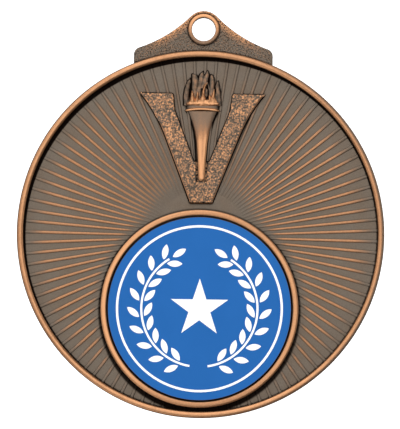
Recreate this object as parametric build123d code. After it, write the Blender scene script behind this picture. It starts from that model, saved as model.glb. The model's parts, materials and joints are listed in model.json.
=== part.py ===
from build123d import *
import math
import os

# Finisher medal in millimetres: one die casting that carries a round printed insert.
# The medal hangs upright. +Z is up, -Y is the front and +X is to the right of someone who faces it.
# The origin is the centre of the ribbon hole, halfway through the hanger plate.
# Depths are "fronts": how far a face stands in front of the origin, so a face behind it is negative.

# Disc
MEDAL_RADIUS = 25.0
RIM_WIDTH = 0.9
RIM_ROUNDING = 0.38
BACK_RIM_WIDTH = 1.6
BACK_ROUNDING = 0.3
FIELD_THICKNESS = 1.8
RIM_HEIGHT = 0.8            # rim crest above the front field
BACK_RIM_HEIGHT = 0.3       # back rim above the back field

# Hanger plate and eyelet
HANGER_THICKNESS = 2.0
HANGER_BEHIND_RIM = 0.6     # front of the hanger plate behind the rim crest
HANGER_HALF_WIDTH = 9.45
SHOULDER_DROP = 2.8         # shoulder corner below the ribbon hole
SHOULDER_ROUNDING = 0.7
EYE_RADIUS = 2.52           # hanger plate round the hole
EYE_ABOVE_RIM = 2.9         # ribbon hole centre above the disc's top
HOLE_RADIUS = 1.6
COLLAR_WIDTH = 0.52
COLLAR_HEIGHT = 0.4
COLLAR_ROUNDING = 0.2

# Insert and the bezel that frames it
INSERT_RADIUS = 12.5
INSERT_CLEARANCE = 0.15
BEZEL_WIDTH = 0.85
BEZEL_HEIGHT = 0.7
BEZEL_ROUNDING = 0.3
BEZEL_TO_RIM = 0.5
RECESS_DEPTH = 0.3          # recess floor below the front field
ADHESIVE_THICKNESS = 0.15
ADHESIVE_MARGIN = 0.4
BLANK_THICKNESS = 0.55
FILM_THICKNESS = 0.12
FILM_MARGIN = 0.08
INK_THICKNESS = 0.03
BORDER_INSET = 1.3          # middle of the printed ring inside the insert's edge
BORDER_WIDTH = 0.31

# Printed emblem: a star inside two laurel branches
STAR_RADIUS = 4.1
LAUREL_INSET = 3.3          # stems inside the printed ring
LAUREL_START = -81.0        # degrees, measured from +X, of the right branch
LAUREL_END = 58.0
STEM_WIDTH = 0.28
LEAF_LENGTH = 2.1
LEAF_WIDTH = 0.85
LEAF_SPLAY = 40.0
LEAF_OFFSET = 0.55          # foot of a leaf from the middle of the stem
LEAF_PAIRS = 9

# Sunrays
RAY_COUNT = 100
RAY_PHASE = -0.75           # degrees that the whole fan is turned
RAY_HEIGHT = 0.14
RAY_START = 6.8             # from the point where the rays would meet
RAY_DROP = 0.3              # that point below the disc centre
RAY_INNER_WIDTH = 0.26
RAY_OUTER_WIDTH = 0.40
RAY_ROOT = 0.4              # how far a ray runs on inside the rim

# Chevron
CHEVRON_HEIGHT = 0.5
CHEVRON_RIM_GAP = 4.9       # chevron top below the rim's inner edge
CHEVRON_BEZEL_GAP = 0.7
CHEVRON_HALF_WIDTH = 8.45
CHEVRON_FLARE_HALF_WIDTH = 5.15
CHEVRON_FOOT_HALF_WIDTH = 1.6
CHEVRON_ARM_HALF_GAP = 3.95
CHEVRON_NOTCH_HALF_WIDTH = 1.0
CHEVRON_CHAMFER = 0.12

# Torch
TORCH_RIM_GAP = 1.6         # flame tip below the rim's inner edge
TORCH_FOOT_RISE = 3.2       # handle foot above the chevron foot
HANDLE_HEIGHT = 0.72
HANDLE_FOOT_HALF_WIDTH = 0.52
HANDLE_NECK_HALF_WIDTH = 1.25
CUP_HALF_WIDTH = 1.9
LIP_HALF_WIDTH = 2.4
LIP_THICKNESS = 0.45
FLAME_HEIGHT = 0.6
FLAME_HALF_WIDTH = 2.63
TORCH_CHAMFER = 0.15

# Fronts and places that follow
HANGER_FRONT = HANGER_THICKNESS / 2
RIM_FRONT = HANGER_FRONT + HANGER_BEHIND_RIM
FIELD_FRONT = RIM_FRONT - RIM_HEIGHT
FIELD_BACK = FIELD_FRONT - FIELD_THICKNESS
BACK = FIELD_BACK - BACK_RIM_HEIGHT
RIM_INNER_RADIUS = MEDAL_RADIUS - RIM_WIDTH
DISC_Z = -(MEDAL_RADIUS + EYE_ABOVE_RIM)

RECESS_RADIUS = INSERT_RADIUS + INSERT_CLEARANCE
BEZEL_RADIUS = RECESS_RADIUS + BEZEL_WIDTH
RECESS_FRONT = FIELD_FRONT - RECESS_DEPTH
INSERT_Z = DISC_Z - (RIM_INNER_RADIUS - BEZEL_TO_RIM - BEZEL_RADIUS)
BORDER_RADIUS = INSERT_RADIUS - BORDER_INSET
LAUREL_RADIUS = BORDER_RADIUS - LAUREL_INSET
BLANK_BACK = RECESS_FRONT + ADHESIVE_THICKNESS
BLANK_FRONT = BLANK_BACK + BLANK_THICKNESS
FILM_FRONT = BLANK_FRONT + FILM_THICKNESS

RAY_Z = DISC_Z - RAY_DROP
CHEVRON_TOP_Z = DISC_Z + RIM_INNER_RADIUS - CHEVRON_RIM_GAP
CHEVRON_FOOT_Z = INSERT_Z + BEZEL_RADIUS + CHEVRON_BEZEL_GAP
TORCH_TOP_Z = DISC_Z + RIM_INNER_RADIUS - TORCH_RIM_GAP
TORCH_FOOT_Z = CHEVRON_FOOT_Z + TORCH_FOOT_RISE

os.makedirs("parts", exist_ok=True)


def slab(shape, back, front):
    """Extrude a shape drawn in X and Z from one front to another."""
    return extrude(Plane.XZ.offset(back) * shape, amount=front - back, dir=(0, -1, 0))


def turned(points, roundings, centre_z):
    """Turn a section about the front-to-back axis. Points are radius and front; roundings pair a
    point's index with its fillet."""
    section = make_face(Polyline(*points, close=True))
    for index, radius in roundings:
        x, y = points[index]
        corner = section.vertices().sort_by_distance((x, y, 0))[0]
        section = fillet(corner, radius)
    place = Plane(origin=(0, 0, centre_z), x_dir=(1, 0, 0), z_dir=(0, 0, -1))
    return revolve(place * section, Axis((0, 0, centre_z), (0, 1, 0)))


def mirrored(points):
    """Points down the right side, then the same points up the left side."""
    return points + [(-x, z) for x, z in reversed(points)]


def along(low, high, share):
    """The height that lies a share of the way from low to high."""
    return low + (high - low) * share


def make_disc():
    """Disc with a rounded front rim, a shallow recess in the back and the insert's recess."""
    back_inner = MEDAL_RADIUS - BACK_RIM_WIDTH
    points = [
        (0, FIELD_BACK),
        (back_inner, FIELD_BACK),
        (back_inner, BACK),
        (MEDAL_RADIUS, BACK),
        (MEDAL_RADIUS, RIM_FRONT),
        (RIM_INNER_RADIUS, RIM_FRONT),
        (RIM_INNER_RADIUS, FIELD_FRONT),
        (0, FIELD_FRONT),
    ]
    roundings = [(3, BACK_ROUNDING), (4, RIM_ROUNDING), (5, RIM_ROUNDING)]
    recess = slab(Pos(0, INSERT_Z) * Circle(RECESS_RADIUS), RECESS_FRONT, RIM_FRONT)
    return turned(points, roundings, DISC_Z) - recess


def make_hanger():
    """Plate behind the rim: round over the hole, then hollow slopes down to two shoulders."""
    tangent = EYE_RADIUS * math.sqrt(0.5)
    shoulder = (HANGER_HALF_WIDTH, -SHOULDER_DROP)
    root = (HANGER_HALF_WIDTH, DISC_Z + MEDAL_RADIUS / 2)
    slope = TangentArc((tangent, tangent), shoulder, tangent=(1, -1))
    outline = [
        ThreePointArc((-tangent, tangent), (0, EYE_RADIUS), (tangent, tangent)),
        slope,
        Line(shoulder, root),
        Line(root, (-root[0], root[1])),
        Line((-root[0], root[1]), (-shoulder[0], shoulder[1])),
        mirror(slope, about=Plane.YZ),
    ]
    shape = make_face(outline)
    corners = shape.vertices().filter_by(lambda v: abs(v.Y + SHOULDER_DROP) < 0.01)
    shape = fillet(corners, SHOULDER_ROUNDING)
    plate = slab(shape, -HANGER_FRONT, HANGER_FRONT)
    inside_disc = Pos(0, 0, DISC_Z) * Rot(X=90) * Cylinder(RIM_INNER_RADIUS, 4 * HANGER_THICKNESS)
    return plate - inside_disc


def make_collar():
    """Raised boss round the ribbon hole, proud of both faces of the hanger; the hole is cut later."""
    outer = HOLE_RADIUS + COLLAR_WIDTH
    points = [
        (0, BACK),
        (outer, BACK),
        (outer, HANGER_FRONT + COLLAR_HEIGHT),
        (0, HANGER_FRONT + COLLAR_HEIGHT),
    ]
    return turned(points, [(1, COLLAR_ROUNDING), (2, COLLAR_ROUNDING)], 0)


def make_bezel():
    """Raised ring round the insert's recess."""
    front = FIELD_FRONT + BEZEL_HEIGHT
    points = [
        (RECESS_RADIUS, RECESS_FRONT),
        (BEZEL_RADIUS, RECESS_FRONT),
        (BEZEL_RADIUS, front),
        (RECESS_RADIUS, front),
    ]
    return turned(points, [(2, BEZEL_ROUNDING), (3, BEZEL_ROUNDING)], INSERT_Z)


def make_rays():
    """Fan of low ridges that widen towards the rim and end inside the rim and the bezel."""
    end = RIM_INNER_RADIUS + RAY_ROOT
    insert = Pos(0, INSERT_Z) * Circle(RECESS_RADIUS + BEZEL_WIDTH / 2)
    strip = make_face(
        Polyline(
            (RAY_START, -RAY_INNER_WIDTH / 2),
            (end, -RAY_OUTER_WIDTH / 2),
            (end, RAY_OUTER_WIDTH / 2),
            (RAY_START, RAY_INNER_WIDTH / 2),
            close=True,
        )
    )
    rays = []
    for number in range(RAY_COUNT):
        angle = RAY_PHASE + number * 360 / RAY_COUNT
        shape = Pos(0, RAY_Z) * Rot(Z=angle) * strip - insert
        rays.append(slab(shape, FIELD_FRONT - RAY_HEIGHT, FIELD_FRONT + RAY_HEIGHT))
    return rays


def make_chevron():
    """Raised V whose arms flare at the top."""
    def height(share):
        return along(CHEVRON_FOOT_Z, CHEVRON_TOP_Z, share)

    foot = (CHEVRON_FOOT_HALF_WIDTH, height(0))
    flare = (CHEVRON_FLARE_HALF_WIDTH, height(0.61))
    tip = (CHEVRON_HALF_WIDTH, height(1))
    inner_top = (CHEVRON_ARM_HALF_GAP, height(1))
    inner_bend = (0.94 * CHEVRON_ARM_HALF_GAP, height(0.85))
    notch = (CHEVRON_NOTCH_HALF_WIDTH, height(0.39))
    rise = (flare[0] - foot[0], flare[1] - foot[1])
    right = [
        Line(foot, flare),
        TangentArc(flare, tip, tangent=rise),
        Line(tip, inner_top),
        Line(inner_top, inner_bend),
        Line(inner_bend, notch),
    ]
    left = [mirror(edge, about=Plane.YZ) for edge in right]
    foot_edge = Line((-foot[0], foot[1]), foot)
    notch_edge = Line(notch, (-notch[0], notch[1]))
    shape = make_face(right + [notch_edge] + left + [foot_edge])
    solid = slab(shape, FIELD_FRONT - RAY_HEIGHT, FIELD_FRONT + CHEVRON_HEIGHT)
    return chamfer(solid.faces().sort_by(Axis.Y)[0].edges(), CHEVRON_CHAMFER)


def make_torch():
    """Tapered handle, cup with a lip, and a flame with five tongues, in raised relief."""
    def height(share):
        return along(TORCH_FOOT_Z, TORCH_TOP_Z, share)

    back = FIELD_FRONT - RAY_HEIGHT
    lip_z = height(0.62)
    handle_shape = make_face(
        Polyline(
            *mirrored(
                [
                    (HANDLE_FOOT_HALF_WIDTH, height(0)),
                    (HANDLE_NECK_HALF_WIDTH, height(0.5)),
                    (CUP_HALF_WIDTH, lip_z),
                ]
            ),
            close=True,
        )
    )
    handle = slab(handle_shape, back, FIELD_FRONT + HANDLE_HEIGHT)
    handle = chamfer(handle.faces().sort_by(Axis.Y)[0].edges(), TORCH_CHAMFER)

    lip_shape = Pos(0, lip_z + LIP_THICKNESS / 2) * Rectangle(2 * LIP_HALF_WIDTH, LIP_THICKNESS)
    lip = slab(lip_shape, back, FIELD_FRONT + HANDLE_HEIGHT)
    lip = chamfer(lip.faces().sort_by(Axis.Y)[0].edges(), TORCH_CHAMFER)

    base_z = lip_z + LIP_THICKNESS
    def flame_point(side, share):
        return (side * FLAME_HALF_WIDTH, along(base_z, TORCH_TOP_Z, share))

    flame_shape = make_face(
        Polyline(
            flame_point(-0.92, 0),
            flame_point(-1, 0.28),
            flame_point(-0.88, 0.66),
            flame_point(-0.62, 0.9),
            flame_point(-0.40, 0.78),
            flame_point(-0.06, 0.98),
            flame_point(0.06, 0.88),
            flame_point(0.24, 1),
            flame_point(0.40, 0.84),
            flame_point(0.58, 0.88),
            flame_point(0.68, 0.70),
            flame_point(0.84, 0.74),
            flame_point(1, 0.30),
            flame_point(0.92, 0),
            close=True,
        )
    )
    flame = slab(flame_shape, back, FIELD_FRONT + FLAME_HEIGHT)
    return [handle, lip, flame]


def make_casting():
    """The whole die casting as one solid."""
    raised = [make_hanger(), make_collar(), make_bezel(), make_chevron(), *make_torch(), *make_rays()]
    body = make_disc().fuse(*raised)
    return body - slab(Circle(HOLE_RADIUS), 2 * BACK, 2 * RIM_FRONT)


def make_star():
    """Five-pointed star with one point up."""
    waist = STAR_RADIUS * math.cos(math.radians(72)) / math.cos(math.radians(36))
    points = []
    for number in range(10):
        angle = math.radians(90 + 36 * number)
        radius = waist if number % 2 else STAR_RADIUS
        points.append((radius * math.cos(angle), radius * math.sin(angle)))
    return make_face(Polyline(*points, close=True))


def make_leaf():
    """Pointed leaf along +X from the origin."""
    tip = (LEAF_LENGTH, 0)
    middle = LEAF_LENGTH * 0.45
    upper = ThreePointArc((0, 0), (middle, LEAF_WIDTH / 2), tip)
    lower = ThreePointArc((0, 0), (middle, -LEAF_WIDTH / 2), tip)
    return make_face([upper, lower])


def make_branch():
    """Right-hand laurel branch: a stem, leaves in pairs beside it and one leaf past its end."""
    sweep = LAUREL_END - LAUREL_START
    ring = Circle(LAUREL_RADIUS + STEM_WIDTH / 2) - Circle(LAUREL_RADIUS - STEM_WIDTH / 2)
    reach = 2 * LAUREL_RADIUS
    first = Vector(reach, 0).rotate(Axis.Z, LAUREL_START)
    middle = Vector(3 * reach, 0).rotate(Axis.Z, LAUREL_START + sweep / 2)
    last = Vector(reach, 0).rotate(Axis.Z, LAUREL_END)
    stem = ring & make_face(Polyline((0, 0), first, middle, last, close=True))
    leaf = Pos(LEAF_OFFSET, 0) * make_leaf()
    shapes = [stem, Rot(Z=LAUREL_END) * Pos(LAUREL_RADIUS, 0) * Rot(Z=90) * leaf]
    for number in range(LEAF_PAIRS):
        turn = along(LAUREL_START, LAUREL_END, (number + 0.5) / LEAF_PAIRS)
        for splay in (LEAF_SPLAY, -LEAF_SPLAY):
            shapes.append(Rot(Z=turn) * Pos(LAUREL_RADIUS, 0) * Rot(Z=90 + splay) * leaf)
    return shapes


def make_emblem():
    """Star and two branches in white ink."""
    branch = make_branch()
    shapes = [make_star(), *branch, *[mirror(shape, about=Plane.YZ) for shape in branch]]
    front = FILM_FRONT + INK_THICKNESS
    layers = [slab(Pos(0, INSERT_Z) * shape, FILM_FRONT, front) for shape in shapes]
    return Compound([solid for layer in layers for solid in layer.solids()])


def make_border():
    """White ring printed near the insert's edge."""
    ring = Circle(BORDER_RADIUS + BORDER_WIDTH / 2) - Circle(BORDER_RADIUS - BORDER_WIDTH / 2)
    return slab(Pos(0, INSERT_Z) * ring, FILM_FRONT, FILM_FRONT + INK_THICKNESS)


def make_round(radius, back, front):
    """Flat round layer of the insert."""
    return slab(Pos(0, INSERT_Z) * Circle(radius), back, front)


NODES = {
    "medal_casting": make_casting(),
    "insert_adhesive": make_round(INSERT_RADIUS - ADHESIVE_MARGIN, RECESS_FRONT, BLANK_BACK),
    "insert_blank": make_round(INSERT_RADIUS, BLANK_BACK, BLANK_FRONT),
    "insert_film": make_round(INSERT_RADIUS - FILM_MARGIN, BLANK_FRONT, FILM_FRONT),
    "printed_border": make_border(),
    "printed_emblem": make_emblem(),
}

for name, solid in NODES.items():
    export_step(solid, f"parts/{name}.step")
    print(name, round(solid.volume, 2), "mm3", len(solid.solids()), "solid(s)")
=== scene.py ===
# %% [markdown]
# # A struck finisher medal, lit on a pale sweep
# The object is one bronze casting, 50 mm across, with a round printed insert stuck into its face.
# The CAD model gives every size and place. This lesson puts a finished surface round it: a rounded
# rim, a fan of ridges, a stippled V, a torch in relief, and an antiqued finish that is dark where
# polish never reached and bright copper where a buffing wheel did.
#
# Everything is modelled at a thousand times its size, so that one unit is a millimetre, and reduced
# at the end. Engravers work the same way: a medal starts as a large model that a machine copies small.

# %% Load the CAD frame
import json
import math

import bmesh
import bpy
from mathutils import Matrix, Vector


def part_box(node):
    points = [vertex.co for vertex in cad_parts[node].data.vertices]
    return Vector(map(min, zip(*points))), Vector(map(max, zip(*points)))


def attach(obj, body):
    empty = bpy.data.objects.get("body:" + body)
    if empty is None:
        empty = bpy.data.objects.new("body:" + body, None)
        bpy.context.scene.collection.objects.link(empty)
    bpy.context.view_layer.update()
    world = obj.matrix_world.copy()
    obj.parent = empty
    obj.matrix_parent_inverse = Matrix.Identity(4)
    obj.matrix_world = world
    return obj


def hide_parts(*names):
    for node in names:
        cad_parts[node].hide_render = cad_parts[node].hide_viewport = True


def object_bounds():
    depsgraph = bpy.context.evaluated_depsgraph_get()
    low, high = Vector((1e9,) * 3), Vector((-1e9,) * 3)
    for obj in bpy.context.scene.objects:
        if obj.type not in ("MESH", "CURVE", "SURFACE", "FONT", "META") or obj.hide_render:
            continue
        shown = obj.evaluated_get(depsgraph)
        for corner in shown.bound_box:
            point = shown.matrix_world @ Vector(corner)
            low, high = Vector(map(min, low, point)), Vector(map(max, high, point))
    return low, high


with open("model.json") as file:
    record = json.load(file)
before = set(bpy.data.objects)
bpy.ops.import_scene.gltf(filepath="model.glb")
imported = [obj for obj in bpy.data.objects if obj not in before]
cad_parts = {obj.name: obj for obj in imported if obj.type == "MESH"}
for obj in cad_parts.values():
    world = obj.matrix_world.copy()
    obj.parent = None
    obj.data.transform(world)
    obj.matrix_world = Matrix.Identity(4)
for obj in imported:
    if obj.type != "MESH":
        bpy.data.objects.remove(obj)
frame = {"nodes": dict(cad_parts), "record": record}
cad_low, cad_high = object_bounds()
MM = 0.001
print("CAD box in mm:", [round(v / MM, 2) for v in (*cad_low, *cad_high)])

# %% [markdown]
# ## Places that come from the frame
# A maker measures the casting before cutting anything to fit it. The disc's radius and centre, the
# depths of its faces and the insert's place are read from the CAD nodes, in millimetres. Depths are
# written as "fronts", the distance that a face stands in front of the hole's middle, because the
# front of the medal looks along -Y and a plain Y would be negative nearly everywhere.

# %% Measure the casting and the insert
def span(node):
    """Lowest and highest corner of a CAD node in millimetres."""
    low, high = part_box(node)
    return low / MM, high / MM


casting_low, casting_high = span("medal_casting")
film_low, film_high = span("insert_film")
blank_low, blank_high = span("insert_blank")
ribbon_hole = next(m for m in frame["record"]["mounts"] if m["name"] == "ribbon_hole")

MEDAL_RADIUS = (casting_high.x - casting_low.x) / 2
DISC_Z = casting_low.z + MEDAL_RADIUS
RIM_FRONT = -casting_low.y
BACK = -casting_high.y
INSERT_Z = (film_low.z + film_high.z) / 2
BLANK_RADIUS = (blank_high.x - blank_low.x) / 2
FILM_RADIUS = (film_high.x - film_low.x) / 2
print("disc radius", round(MEDAL_RADIUS, 2), "centre z", round(DISC_Z, 2), "insert z", round(INSERT_Z, 2))

# %% Sizes that the casting's parts share
# The first block is in millimetres; the second follows from it and from the CAD.
RIM_WIDTH = 0.9
RIM_HEIGHT = 0.8
RIM_ROUNDING = 0.38
BACK_RIM_WIDTH = 1.6
BACK_RIM_HEIGHT = 0.3
BACK_ROUNDING = 0.28
RECESS_DEPTH = 0.3
RECESS_CLEARANCE = 0.15
BEZEL_WIDTH = 0.85
BEZEL_HEIGHT = 0.7
RAY_START = 6.3
RAYS_BELOW_CENTRE = 0.3
V_HEIGHT = 0.5
V_BELOW_RIM = 4.9
V_ABOVE_BEZEL = 0.7
TORCH_BELOW_RIM = 1.6
TORCH_ABOVE_V_FOOT = 3.2
LIP_SHARE = 0.62
SUNK = 0.14

FIELD_FRONT = RIM_FRONT - RIM_HEIGHT
RIM_INNER_RADIUS = MEDAL_RADIUS - RIM_WIDTH
RECESS_FRONT = FIELD_FRONT - RECESS_DEPTH
RECESS_RADIUS = BLANK_RADIUS + RECESS_CLEARANCE
BEZEL_FRONT = FIELD_FRONT + BEZEL_HEIGHT
BEZEL_RADIUS = RECESS_RADIUS + BEZEL_WIDTH
RAY_Z = DISC_Z - RAYS_BELOW_CENTRE
V_FRONT = FIELD_FRONT + V_HEIGHT
V_TOP = DISC_Z + RIM_INNER_RADIUS - V_BELOW_RIM
V_FOOT = INSERT_Z + BEZEL_RADIUS + V_ABOVE_BEZEL
TORCH_TOP = DISC_Z + RIM_INNER_RADIUS - TORCH_BELOW_RIM
TORCH_FOOT = V_FOOT + TORCH_ABOVE_V_FOOT
LIP_Z = TORCH_FOOT + (TORCH_TOP - TORCH_FOOT) * LIP_SHARE
print("field front", round(FIELD_FRONT, 2), "recess radius", round(RECESS_RADIUS, 2))

# %% [markdown]
# ## Tools of the bench
# Blender's operators act on whatever is selected, so each helper first clears the selection. A
# corner, edge or face is then picked by a test on its place, as a hand would click it. `finished`
# is the last station of every piece: it merges doubles, turns the faces outward, reduces the piece
# to its real size and hangs it on the casting's body.

# %% Selecting and finishing
def alone(piece):
    """Make one piece the only selected and active object."""
    if bpy.context.object and bpy.context.mode != "OBJECT":
        bpy.ops.object.mode_set(mode="OBJECT")
    bpy.ops.object.select_all(action="DESELECT")
    piece.select_set(True)
    bpy.context.view_layer.objects.active = piece


def edit(piece, kind="FACE"):
    """Open a piece in edit mode with nothing selected."""
    alone(piece)
    bpy.ops.object.mode_set(mode="EDIT")
    bpy.ops.mesh.select_mode(type=kind)
    bpy.ops.mesh.select_all(action="DESELECT")


def pick(piece, kind, test):
    """Select the verts, edges or faces that pass a test, and nothing else."""
    bpy.ops.mesh.select_all(action="DESELECT")
    mesh = bmesh.from_edit_mesh(piece.data)
    mesh.verts.ensure_lookup_table()
    chosen = [part for part in getattr(mesh, kind) if test(part)]
    for part in chosen:
        part.select_set(True)
    bmesh.update_edit_mesh(piece.data)
    return len(chosen)


def named(name):
    """Name the primitive that was just added and settle it at the origin."""
    piece = bpy.context.object
    piece.name = name
    piece.data.name = name
    bpy.ops.object.transform_apply(location=True, rotation=True, scale=True)
    return piece


def tidied(piece, merge=0.0005):
    """Merge doubled corners and turn every face outward."""
    edit(piece, "VERT")
    bpy.ops.mesh.select_all(action="SELECT")
    bpy.ops.mesh.remove_doubles(threshold=merge)
    bpy.ops.mesh.normals_make_consistent(inside=False)
    bpy.ops.object.mode_set(mode="OBJECT")
    return piece


def use(piece, kind, settings):
    """Add a modifier with its settings and apply it."""
    alone(piece)
    modifier = piece.modifiers.new(kind.lower(), kind)
    for name, value in settings.items():
        setattr(modifier, name, value)
    bpy.ops.object.modifier_apply(modifier=modifier.name)
    return piece


def joined(name, parts):
    """Join several pieces into one."""
    alone(parts[0])
    for part in parts:
        part.select_set(True)
    bpy.ops.object.join()
    parts[0].name = name
    parts[0].data.name = name
    return parts[0]


def finished(piece, finish, smooth_angle=32):
    """Reduce a piece to its real size and make it part of the casting."""
    tidied(piece)
    bpy.ops.transform.resize(value=(MM, MM, MM), center_override=(0, 0, 0))
    bpy.ops.object.transform_apply(location=True, rotation=True, scale=True)
    bpy.ops.object.shade_smooth_by_angle(angle=math.radians(smooth_angle))
    piece.data.materials.clear()
    piece.data.materials.append(finish)
    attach(piece, "root")
    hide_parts("medal_casting")
    faces = len(piece.data.polygons)
    size = [round(v / MM, 2) for v in piece.dimensions]
    print(piece.name, faces, "faces,", size, "mm")
    return piece


# %% [markdown]
# ## Shapes that come back again and again
# Three shapes make most of a medal. A round block is a cylinder laid on its side so that its top
# looks to the front, and the same block bores a hole. A turned ring is a small flat section spun once
# round, as on a lathe. A cut sheet is a flat face whose corners are dragged to an outline and then
# pulled to its thickness.

# %% Round blocks, turned rings and cut sheets
FACING_FRONT = (math.radians(90), 0, 0)
SAME_PLACE = 0.01
BEVEL_STEPS = 6


def round_block(name, radius, back, front, centre_z, sides):
    """A cylinder that faces the front."""
    bpy.ops.mesh.primitive_cylinder_add(
        vertices=sides,
        radius=radius,
        depth=front - back,
        location=(0, -(front + back) / 2, centre_z),
        rotation=FACING_FRONT,
    )
    return named(name)


def bored(piece, name, radius, back, front, centre_z, sides):
    """Cut a round hole into a piece, as a drill or a mill does."""
    cutter = round_block(name, radius, back, front, centre_z, sides)
    use(piece, "BOOLEAN", {"operation": "DIFFERENCE", "object": cutter, "solver": "EXACT"})
    bpy.data.objects.remove(cutter)
    return piece


def turned_ring(name, inner, outer, back, front, centre_z, roundings, steps=192):
    """A rounded section spun once about the front-to-back axis. Roundings pair a corner with its radius."""
    section_middle = ((inner + outer) / 2, -(front + back) / 2, centre_z)
    bpy.ops.mesh.primitive_plane_add(size=1, location=section_middle)
    ring = bpy.context.object
    ring.scale = (outer - inner, front - back, 1)
    named(name)
    edit(ring, "VERT")
    for (radius, depth), rounding in roundings:
        pick(ring, "verts", lambda v: abs(v.co.x - radius) < 1e-4 and abs(v.co.y + depth) < 1e-4)
        bpy.ops.mesh.bevel(offset=rounding, offset_type="OFFSET", affect="VERTICES", segments=BEVEL_STEPS)
    bpy.ops.mesh.select_all(action="SELECT")
    bpy.ops.mesh.delete(type="ONLY_FACE")
    bpy.ops.mesh.select_all(action="SELECT")
    bpy.ops.mesh.spin(steps=steps, angle=math.tau, center=(0, 0, centre_z), axis=(0, 1, 0))
    return tidied(ring)


def cut_sheet(name, outline, back, front):
    """A flat face with its corners dragged to an outline in X and Z, pulled forward to its thickness."""
    bpy.ops.mesh.primitive_circle_add(
        vertices=len(outline), radius=1, fill_type="NGON", location=(0, -back, 0), rotation=FACING_FRONT
    )
    sheet = named(name)
    edit(sheet, "VERT")
    for number, (x, z) in enumerate(outline):
        pick(sheet, "verts", lambda v: v.index == number)
        corner = bmesh.from_edit_mesh(sheet.data).verts[number].co
        bpy.ops.transform.translate(value=(x - corner.x, 0, z - corner.z))
    bpy.ops.mesh.select_all(action="SELECT")
    bpy.ops.mesh.extrude_region_move(TRANSFORM_OT_translate={"value": (0, back - front, 0)})
    return tidied(sheet)


def tangent_arc(start, heading, end, count):
    """Points after start, along the arc that leaves it in a heading and stops at end."""
    length = math.hypot(*heading)
    side = (-heading[1] / length, heading[0] / length)
    chord = (end[0] - start[0], end[1] - start[1])
    radius = (chord[0] ** 2 + chord[1] ** 2) / (2 * (chord[0] * side[0] + chord[1] * side[1]))
    centre = (start[0] + radius * side[0], start[1] + radius * side[1])
    first = math.atan2(start[1] - centre[1], start[0] - centre[0])
    last = math.atan2(end[1] - centre[1], end[0] - centre[0])
    turn = (last - first + math.pi) % math.tau - math.pi
    steps = [first + turn * number / count for number in range(1, count + 1)]
    reach = abs(radius)
    return [(centre[0] + reach * math.cos(a), centre[1] + reach * math.sin(a)) for a in steps]


def both_sides(right):
    """An outline's right side from the bottom up, then its left side from the top down."""
    return right + [(-x, z) for x, z in reversed(right)]


print("bench ready")

# %% [markdown]
# ## How a finish is wired
# A material is a small circuit. Writing it node by node buries the idea, so a Wire wraps one output
# and turns Python's own sums into Math nodes: `1 - mask` or `grain * 0.3 + mask` read like the recipe
# they are. Every other node comes from one method that is given its type, its settings and its values.

# %% A wire that can be used in sums
class Wire:
    """One output of a node. Sums on it add Math nodes to its tree."""

    def __init__(self, tree, socket=None):
        self.tree = tree
        self.socket = socket

    def node(self, kind, settings=None, values=None, output=0):
        """Add a node: first its settings, then the values or wires of its sockets."""
        made = self.tree.nodes.new(kind)
        for name, value in (settings or {}).items():
            setattr(made, name, value)
        for name, value in (values or {}).items():
            if isinstance(value, Wire):
                self.tree.links.new(value.socket, made.inputs[name])
            else:
                made.inputs[name].default_value = value
        return Wire(self.tree, made.outputs[output])

    def maths(self, operation, first, second=0.0):
        return self.node("ShaderNodeMath", {"operation": operation}, {0: first, 1: second})

    def __add__(self, other):
        return self.maths("ADD", self, other)

    def __radd__(self, other):
        return self.maths("ADD", other, self)

    def __sub__(self, other):
        return self.maths("SUBTRACT", self, other)

    def __rsub__(self, other):
        return self.maths("SUBTRACT", other, self)

    def __mul__(self, other):
        return self.maths("MULTIPLY", self, other)

    def __rmul__(self, other):
        return self.maths("MULTIPLY", other, self)

    def __truediv__(self, other):
        return self.maths("DIVIDE", self, other)

    def __pow__(self, other):
        return self.maths("POWER", self, other)

    def rise(self, low, high):
        """0 below low, 1 above high and a smooth rise between them; low above high makes it a fall."""
        values = {"Value": self, "From Min": low, "From Max": high}
        return self.node("ShaderNodeMapRange", {"interpolation_type": "SMOOTHSTEP"}, values)

    def limited(self):
        return self.node("ShaderNodeClamp", values={"Value": self})

    def mixed(self, low, high):
        """A colour between low and high."""
        return self.node("ShaderNodeMix", {"data_type": "RGBA"}, {0: self, 6: low, 7: high}, output=2)

    def noise(self, scale_mm, detail=2.0, roughness=0.5, stretch=None):
        """Cloudy noise on a place, with features about scale_mm across."""
        place = self
        if stretch:
            place = self.node("ShaderNodeMapping", values={"Vector": self, "Scale": stretch})
        values = {"Vector": place, "Scale": 1 / (scale_mm * MM), "Detail": detail, "Roughness": roughness}
        return self.node("ShaderNodeTexNoise", values=values)


print("wires ready")

# %% [markdown]
# ## The antiqued bronze
# The real finish takes three steps. The casting is plated with copper, dipped until it goes brown
# and grey, and then buffed, which takes the dark film off everything that stands proud. A painted
# texture could show that, but it would be tied to one shape. Here a mask says how far the buffing
# got, and on the rim, the rays, the bezel, the collar and the torch it also holds painted highlight
# and painted shade; a second one says where soot stays in the corners, and on the disc, the rays and
# the V it also holds painted shadow and painted shade; one recipe turns the two into colour, metal,
# roughness and grain for every part of the casting. Soot and painted shadow are nearly black and
# fully metallic, because a matt black would still catch a grey sheen from the lights.
#
# The masks are all built from `rise`, and its two limits are distances in millimetres from a face,
# an edge or a centre of the casting, or shares of a length from 0 to 1.

# %% Colours and the recipe
COPPER = (0.37, 0.164, 0.069, 1)
BRIGHT_COPPER = (0.46, 0.230, 0.112, 1)
PATINA = (0.136, 0.110, 0.086, 1)
BROWN_PATINA = (0.130, 0.094, 0.066, 1)
# Near black, for soot in the corners and for painted shadow and painted shade.
SOOT_AND_SHADOW = (0.006, 0.0035, 0.0025, 1)
DARK_GRAIN = (0.84, 0.84, 0.84, 1)
LIGHT_GRAIN = (1.1, 1.1, 1.1, 1)
CLOUD_MM = 2.6
SPECK_MM = 0.22
PATINA_METALLIC = 0.72
PATINA_ROUGHNESS = 0.5
BUFFED_ROUGHNESS = 0.3


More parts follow.
